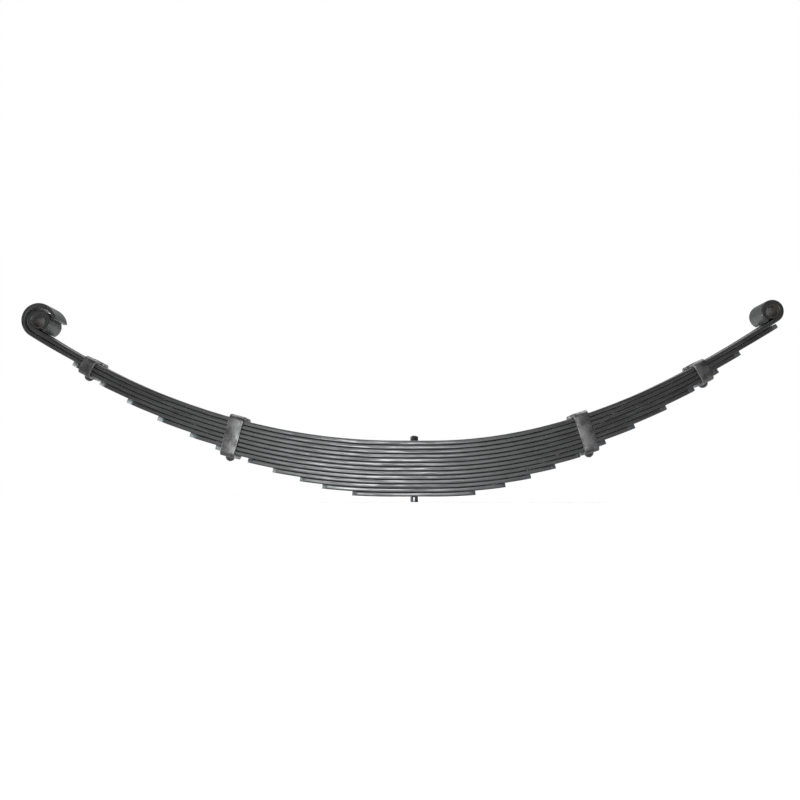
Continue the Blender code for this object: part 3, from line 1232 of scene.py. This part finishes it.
    def build(self) -> None:
        """Make every leaf, dress it and give it its flex."""
        for leaf in self.leaves():
            bm = self.forge(leaf)
            bend(bm, lambda co: self.bent(leaf, co), self.tangent)
            piece = settle(f"vis_{leaf.node}", bm, self.finish)
            piece.modifiers.new("flex", "NODES").node_group = self.flex
            seat(piece, Body.PACK, leaf.node)


# ---------------------------------------------------------------- clips


@dataclass
class Clip:
    """A strap riveted under one leaf, its ears bent over the main leaf."""

    name: str
    line: BendLine
    station: float
    depth: float
    stock: Stock
    body: Body
    steel: Material
    rivet_steel: Material
    side_gap: float = 0.8 * MM
    bend_radius: float = 3.2 * MM
    ear_gap: float = 12.0 * MM
    crown: float = 3.0
    edge_corner: float = 0.9 * MM
    end_rim: float = 0.7 * MM
    worn_edge: float = 0.5 * MM
    rivet_radius: float = 4.76 * MM
    rivet_hole: float = 5.1 * MM
    rivet_rim: float = 0.3 * MM
    head_radius: float = 8.3 * MM
    head_height: float = 7.0 * MM
    width: float = field(init=False)
    gauge: float = field(init=False)

    def __post_init__(self) -> None:
        """Take the strap's width and gauge from its stock."""
        self.width, self.gauge = self.stock.value

    def legs(self) -> list[tuple[float, float]]:
        """The strap's middle line, from one ear's end to the other's.

        Returns:
            Length and turn of each leg.
        """
        half = LEAF_WIDTH / 2 + self.side_gap + self.gauge / 2
        tall = self.depth + 2 * CLEARANCE + self.gauge
        radius = self.bend_radius + self.gauge / 2
        quarter = math.pi / 2
        corner = (radius * quarter, -quarter)
        ear = (half - radius - self.ear_gap / 2, 0.0)
        leg = (tall - 2 * radius, 0.0)
        return [ear, corner, leg, corner, (2 * (half - radius), 0.0), corner, leg, corner, ear]

    def place(self, co: Vector) -> Vector:
        """Where a point of the straight strap lies in the bent one.

        Args:
            co: The straight place.

        Returns:
            The bent place, in the clip's own frame.
        """
        here = Vector((self.ear_gap / 2, CLEARANCE + self.gauge / 2))
        lean, left = 0.0, co.x
        for length, turn in self.legs():
            run = min(left, length)
            if turn:
                radius = length / turn
                centre = here + upright(lean) * radius
                lean += run / radius
                here = centre - upright(lean) * radius
            else:
                here = here + heading(lean) * run
            left -= run
            if left <= 0.0:
                break
        out = here + upright(lean) * (co.z + self.gauge / 2)
        return Vector((co.y, out.x, out.y))

    def strap(self) -> Piece:
        """Shear the strap square, drill it for its rivet and bend it cold.

        Returns:
            The strap.
        """
        stops = [0.0]
        for length, turn in self.legs():
            parts = divided(0.0, length, 1.3 * MM if turn else 8 * MM)[1:] + [length]
            stops += [x + stops[-1] for x in parts]
        section = Section(self.width, self.gauge, self.crown * self.gauge, self.edge_corner)
        bm = straight_bar(section, stops)
        ends = (stops[0] + 0.5 * MM, stops[-1] - 0.5 * MM)
        round_rims(bm, self.end_rim, lambda co: co.x < ends[0] or co.x > ends[1])
        bm = drilled(bm, [(Vector((stops[-1] / 2, 0.0, 0.0)), self.rivet_hole)])
        mark = bm.verts.layers.float.new("rubbed")
        for vert in bm.verts:
            vert[mark] = float(self.width / 2 - abs(vert.co.y) < self.worn_edge)
        bend(bm, self.place)
        bmesh.ops.transform(bm, verts=bm.verts, matrix=self.line.lay_on(self.station))
        return settle(f"vis_clip_{self.name}", bm, self.steel)

    def rivet(self) -> Piece:
        """Forge the button-head rivet, its head under the strap and its shank in the leaf.

        Returns:
            The rivet.
        """
        under = -self.depth - 2 * CLEARANCE - self.gauge
        top = -self.depth + LEAF_GAUGE - CLEARANCE
        bm = bmesh.new()
        radius = (self.head_radius**2 + self.head_height**2) / (2 * self.head_height)
        middle = Vector((0.0, 0.0, under - self.head_height + radius))
        sweep = math.asin(self.head_radius / radius)
        pole = bm.verts.new(middle - Vector((0.0, 0.0, radius)))
        bmesh.ops.spin(bm, geom=[pole], cent=middle, axis=(0, 1, 0), angle=-sweep, steps=12)
        bm.verts.ensure_lookup_table()
        rim = max(bm.verts, key=lambda v: v.co.x)
        shank = self.rivet_radius
        for x, z in ((rim.co.x, under), (shank, under), (shank, top), (0.0, top)):
            if abs(rim.co.x - x) < 1e-9 and abs(rim.co.z - z) < HAIR:
                continue
            step = bm.verts.new((x, 0.0, z))
            bm.edges.new((rim, step))
            rim = step
        turn_round(bm, (0, 0, 1), 48)
        round_rims(bm, self.rivet_rim, lambda co: abs(co.z - under) < 1e-5)
        bmesh.ops.transform(bm, verts=bm.verts, matrix=self.line.lay_on(self.station))
        return settle(f"vis_rivet_{self.name}", bm, self.rivet_steel, 50.0)

    def build(self) -> None:
        """Make the strap and its rivet and seat them on the clip's body."""
        seat(self.strap(), self.body, f"clip_{self.name}")
        seat(self.rivet(), self.body, f"rivet_{self.name}")


# ---------------------------------------------------------------- round parts


@dataclass
class EyeBush:
    """A plain bush pressed into an eye."""

    line: BendLine
    body: Body
    node: str
    steel: Material
    eye_radius: float = 13.0 * MM
    outer: float = 12.7 * MM
    bore: float = 11.1 * MM
    rim: float = 0.45 * MM

    def build(self) -> None:
        """Turn the bush round its bore and break its rims."""
        half = LEAF_WIDTH / 2
        bm = bmesh.new()
        corners = [(self.bore, -half), (self.outer, -half), (self.outer, half), (self.bore, half)]
        ring = [bm.verts.new((r, y, 0.0)) for r, y in corners]
        for pair in zip(ring, ring[1:] + ring[:1]):
            bm.edges.new(pair)
        turn_round(bm, (0, 1, 0), 72)
        round_rims(bm, self.rim, lambda co: True, 60.0)
        place = self.line.world(self.line.spot(self.line.length, -self.eye_radius))
        bmesh.ops.translate(bm, verts=bm.verts, vec=place)
        seat(settle(f"vis_{self.node}", bm, self.steel), self.body, self.node)


@dataclass
class CentreBolt:
    """The centre bolt that holds the pack, its round locating head below, its nut on top."""

    steel: Material
    nut_steel: Material
    shank: float = 4.76 * MM
    hole: float = 5.1 * MM
    head_radius: float = 7.15 * MM
    head_height: float = 9.5 * MM
    head_chamfer: float = 0.9 * MM
    head_rim: float = 0.3 * MM
    nut_flats: float = 14.3 * MM
    nut_height: float = 8.3 * MM
    nut_rim: float = 0.2 * MM
    nut_cuts: int = 12
    end: float = 1.9 * MM

    def bolt(self) -> Piece:
        """Turn head, shank and end in one piece.

        Returns:
            The bolt.
        """
        top = SEAT_TOP + CLEARANCE + self.nut_height + self.end
        bm = bmesh.new()
        chain = [
            (0.0, 0.0),
            (self.head_radius - self.head_chamfer, 0.0),
            (self.head_radius, self.head_chamfer),
            (self.head_radius, self.head_height - self.head_rim),
            (self.head_radius - self.head_rim, self.head_height),
            (self.shank, self.head_height),
            (self.shank, top - 1.2 * MM),
            (self.shank - 0.5 * MM, top - 0.4 * MM),
            (self.shank - 1.5 * MM, top),
            (0.0, top),
        ]
        verts = [bm.verts.new((r, 0.0, z)) for r, z in chain]
        for pair in zip(verts, verts[1:]):
            bm.edges.new(pair)
        turn_round(bm, (0, 0, 1), 64)
        return settle("vis_centre_bolt", bm, self.steel, 40.0)

    def nut(self) -> Piece:
        """Make the hexagon nut, its corners turned off at thirty degrees top and bottom.

        Returns:
            The nut.
        """
        low = SEAT_TOP + CLEARANCE
        middle = Vector((0.0, 0.0, low + self.nut_height / 2))
        bm = rod(6, self.nut_flats / math.sqrt(3), self.nut_height, middle)
        for face_z, way in ((low + self.nut_height, 1), (low, -1)):
            steep = Vector((0.0, 0.0, way * math.tan(math.radians(60.0))))
            for i in range(self.nut_cuts):
                angle = math.tau * (i + 0.5) / self.nut_cuts
                out = Vector((math.cos(angle), math.sin(angle), 0.0))
                slice_off(bm, out * self.nut_flats / 2 + Vector((0.0, 0.0, face_z)), out + steep)
        bmesh.ops.recalc_face_normals(bm, faces=bm.faces)
        bm = drilled(bm, [(Vector((0.0, 0.0, low)), self.hole)])
        round_rims(bm, self.nut_rim, lambda co: True, 25.0)
        return settle("vis_centre_nut", bm, self.nut_steel, 20.0)

    def build(self) -> None:
        """Make the bolt and its nut and seat them on the pack."""
        seat(self.bolt(), Body.PACK, "centre_bolt")
        seat(self.nut(), Body.PACK, "centre_nut")


# ---------------------------------------------------------------- studio


@dataclass
class Studio:
    """Pale floor, soft light and the camera."""

    floor_radius: float = 9.0
    distance: float = 1.244
    eye_height: float = 0.012
    eye_across: float = -0.0207
    lamp_across: float = -0.13
    lamp_colour: tuple[float, float, float] = (0.95, 0.985, 1.0)
    sensor: float = 36.0
    lens: float = 30.9345
    shift: tuple[float, float] = (-0.00375, 0.1193)

    def floor(self) -> None:
        """Lay a round pale floor under the spring."""
        bm = bmesh.new()
        bmesh.ops.create_circle(bm, cap_ends=True, segments=96, radius=self.floor_radius)
        settle("floor", bm, PaleFloor().build())
        log.info("floor laid, %.0f m across", 2 * self.floor_radius)

    def camera(self) -> None:
        """Set a level camera in front of the spring, as low as the floor lets it be."""
        data = bpy.data.cameras.new("camera")
        data.sensor_width = self.sensor
        data.lens = self.lens
        data.shift_x, data.shift_y = self.shift
        data.clip_start, data.clip_end = 0.01, 60.0
        camera = add_object("camera", data)
        camera.location = (self.eye_across, -LEAF_WIDTH / 2 - self.distance, self.eye_height)
        camera.rotation_euler = (math.pi / 2, 0.0, 0.0)
        bpy.context.scene.camera = camera
        log.info("camera set %.3f m in front", self.distance)

    def sun(
        self, name: str, strength: float, spread: float, azimuth: float, elevation: float
    ) -> None:
        """Add a soft distant light.

        Args:
            name: Its name.
            strength: Its power on a square metre.
            spread: How wide it looks, in degrees.
            azimuth: Where it stands round the spring, in degrees.
            elevation: How high it stands, in degrees.
        """
        data = bpy.data.lights.new(name, "SUN")
        data.energy = strength
        data.angle = math.radians(spread)
        a, e = math.radians(azimuth), math.radians(elevation)
        back = Vector((math.sin(a) * math.cos(e), -math.cos(a) * math.cos(e), math.sin(e)))
        add_object(name, data).rotation_euler = back.to_track_quat("Z", "Y").to_euler()

    def lamp(self, power: float, wide: float, tall: float, height: float) -> None:
        """Add a low strip lamp in front of the spring, aimed at its middle.

        Args:
            power: Its power in watts.
            wide: Its width.
            tall: Its height.
            height: How far it stands above the floor.
        """
        data = bpy.data.lights.new("front", "AREA")
        data.shape = "RECTANGLE"
        data.energy, data.size, data.size_y = power, wide, tall
        data.color = self.lamp_colour
        lamp = add_object("front", data)
        lamp.location = (self.lamp_across, -LEAF_WIDTH / 2 - self.distance, height)
        back = lamp.location - Vector((0.0, 0.0, SEAT_TOP))
        lamp.rotation_euler = back.to_track_quat("Z", "Y").to_euler()
        lamp.visible_camera = False

    def world(self, seen: float, lit: float) -> None:
        """Put a pale surround round everything.

        Args:
            seen: How bright it looks.
            lit: How much light it gives.
        """
        world = bpy.data.worlds.new("surround")
        world.use_nodes = True
        tree = world.node_tree
        background = tree.nodes["Background"]
        background.inputs["Color"].default_value = (1.0, 1.0, 1.0, 1.0)
        look = add_node(tree, "ShaderNodeLightPath").outputs["Is Camera Ray"]
        strength = Graph(tree).ramp(look, 0.0, 1.0, lit, seen, style="LINEAR")
        tree.links.new(strength, background.inputs["Strength"])
        bpy.context.scene.world = world

    def build(self) -> None:
        """Set up the whole studio."""
        self.camera()
        self.floor()
        self.world(1.0, 0.33)
        self.lamp(15.0, 0.40, 0.05, 0.12)
        self.sun("top", 3.0, 60.0, 150.0, 70.0)
        self.sun("side", 1.7, 30.0, -88.0, 12.0)
        bpy.context.scene.view_settings.view_transform = "Standard"


def main() -> None:
    """Build the studio and the spring, piece by piece."""
    logging.basicConfig(level=logging.INFO, format="%(name)s: %(message)s")
    Studio().build()
    left = BendLine(Side.LEFT, 1060 * MM, 1413 * MM, 728.5 * MM, 324 * MM, 609 * MM)
    right = BendLine(Side.RIGHT, 750 * MM, 2600 * MM, 703.5 * MM, 305 * MM, 539 * MM)
    lines = {Side.LEFT: left, Side.RIGHT: right}
    leaf_black = LeafBlack().build()
    strap_steel = StrapSteel().build()
    rivet_steel = PlainSteel("forged_rivet_steel", "#4c4c4e", "#333334", 0.42, 500.0).build()
    bolt_steel = PlainSteel("turned_bolt_steel", "#6b6c70", "#525356", 0.2, 900.0).build()
    nut_steel = PlainSteel("oiled_nut_steel", "#4a4a4d", "#37373a", 0.34, 700.0).build()
    bush_steel = BushSteel().build()
    pack = LeafPack(lines, Flex(lines).group(), leaf_black)
    pack.build()
    for name, line, station, under, stock, body in (
        ("left_outer", left, left.outer_clip, 3, Stock.OUTER, Body.LEFT_OUTER),
        ("left_inner", left, left.inner_clip, 8, Stock.INNER, Body.LEFT_INNER),
        ("right_inner", right, right.inner_clip, 8, Stock.INNER, Body.RIGHT_INNER),
        ("right_outer", right, right.outer_clip, 4, Stock.OUTER, Body.RIGHT_OUTER),
    ):
        depth = pack.top_depth(under, station, line) + LEAF_GAUGE
        Clip(name, line, station, depth, stock, body, strap_steel, rivet_steel).build()
    EyeBush(left, Body.LEFT_EYE, "left_eye_bush", bush_steel).build()
    EyeBush(right, Body.RIGHT_EYE, "right_eye_bush", bush_steel).build()
    CentreBolt(bolt_steel, nut_steel).build()


if __name__ == "__main__":
    main()
